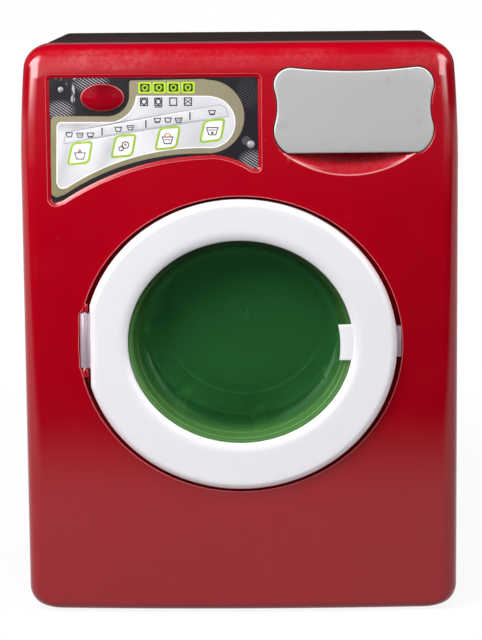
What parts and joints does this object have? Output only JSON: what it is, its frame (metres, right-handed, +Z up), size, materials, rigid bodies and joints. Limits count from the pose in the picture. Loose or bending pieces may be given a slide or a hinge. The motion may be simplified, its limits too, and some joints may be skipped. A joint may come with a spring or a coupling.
{
  "type": "toy washing machine",
  "caption": "Toy front-loading washing machine: hinged oval door with a see-through bowl, turning drum on a gear train, detergent drawer and sprung oval button.",
  "frame": {"origin": "centre of the footprint box, on the floor", "axes": "+Z up, +Y from the front face towards the rear, +X to the right seen from the front"},
  "size_m": [0.195, 0.175, 0.2575],
  "materials": {
    "red_shell": "glossy moulded plastic",
    "dark_shell": "fine satin moulded plastic",
    "white_ring": "glossy moulded plastic",
    "green_window": "clear tinted plastic",
    "panel_print": "printed glossy film on a plastic plate",
    "red_button": "clear tinted plastic",
    "grey_drawer": "satin moulded plastic",
    "pale_drum": "semi-gloss moulded plastic",
    "inner_plastic": "plain moulded plastic",
    "gear_plastic": "low-friction gear plastic",
    "steel": "plated steel",
    "motor_can": "plated can",
    "brass": "turned brass",
    "board": "solder mask on board",
    "cell": "printed sleeve on a metal can",
    "rubber_foot": "matt rubber"
  },
  "bodies": {
    "machine": {"front_fascia": "red_shell", "rear_housing": "dark_shell", "feet": "rubber_foot", "housing_screws": "steel", "hinge_pin": "steel", "control_panel": "panel_print", "panel_studs": "steel", "button_spring": "steel", "push_switch": "inner_plastic", "lamp": "inner_plastic", "circuit_board": "board", "board_screws": "steel", "drawer_guide": "inner_plastic", "guide_screws": "steel", "drum_bush": "brass", "gear_pins": "steel", "gear_case": "inner_plastic", "gear_cover": "inner_plastic", "gearbox_screws": "steel", "motor": "motor_can", "battery_box": "dark_shell", "batteries": "cell", "battery_contacts": "steel", "battery_cover": "dark_shell", "cover_screw": "steel"},
    "door": {"door_ring": "white_ring", "door_window": "green_window", "door_back_ring": "white_ring", "door_screws": "steel"},
    "drawer": {"detergent_drawer": "grey_drawer"},
    "button": {"power_button": "red_button"},
    "drum": {"drum": "pale_drum", "drum_shaft": "steel", "drum_screw": "steel", "drum_gear": "gear_plastic"},
    "second_wheel": {"second_gear": "gear_plastic"},
    "first_wheel": {"first_gear": "gear_plastic"},
    "motor_spindle": {"motor_pinion": "brass", "motor_shaft": "steel"}
  },
  "joints": [
    {"name": "door_hinge", "type": "hinge", "parent": "machine", "child": "door", "pos_m": [-0.0697, -0.0811, 0.1256], "axis": [0, 0, -1], "range_deg": [0, 100]},
    {"name": "drawer_slide", "type": "slide", "parent": "machine", "child": "drawer", "axis": [0, -1, 0], "range_m": [0, 0.042]},
    {"name": "button_press", "type": "slide", "parent": "machine", "child": "button", "axis": [0, 1, 0], "range_m": [0, 0.002], "stiffness_N_per_m": 500, "springref_m": -0.001, "deforming": ["button_spring"]},
    {"name": "drum_spin", "type": "hinge", "parent": "machine", "child": "drum", "pos_m": [0, -0.0845, 0.1234], "axis": [0, 1, 0], "continuous": true},
    {"name": "second_gear_spin", "type": "hinge", "parent": "machine", "child": "second_wheel", "pos_m": [0.02121, -0.0845, 0.09812], "axis": [0, 1, 0], "continuous": true},
    {"name": "first_gear_spin", "type": "hinge", "parent": "machine", "child": "first_wheel", "pos_m": [0.03933, -0.0845, 0.09492], "axis": [0, 1, 0], "continuous": true},
    {"name": "motor_spin", "type": "hinge", "parent": "machine", "child": "motor_spindle", "pos_m": [0.04853, -0.0845, 0.11086], "axis": [0, 1, 0], "continuous": true}
  ],
  "couplings": [
    {"joint": "second_gear_spin", "follows": "drum_spin", "ratio": -4.5},
    {"joint": "first_gear_spin", "follows": "drum_spin", "ratio": 16.2},
    {"joint": "motor_spin", "follows": "drum_spin", "ratio": -58.32}
  ]
}
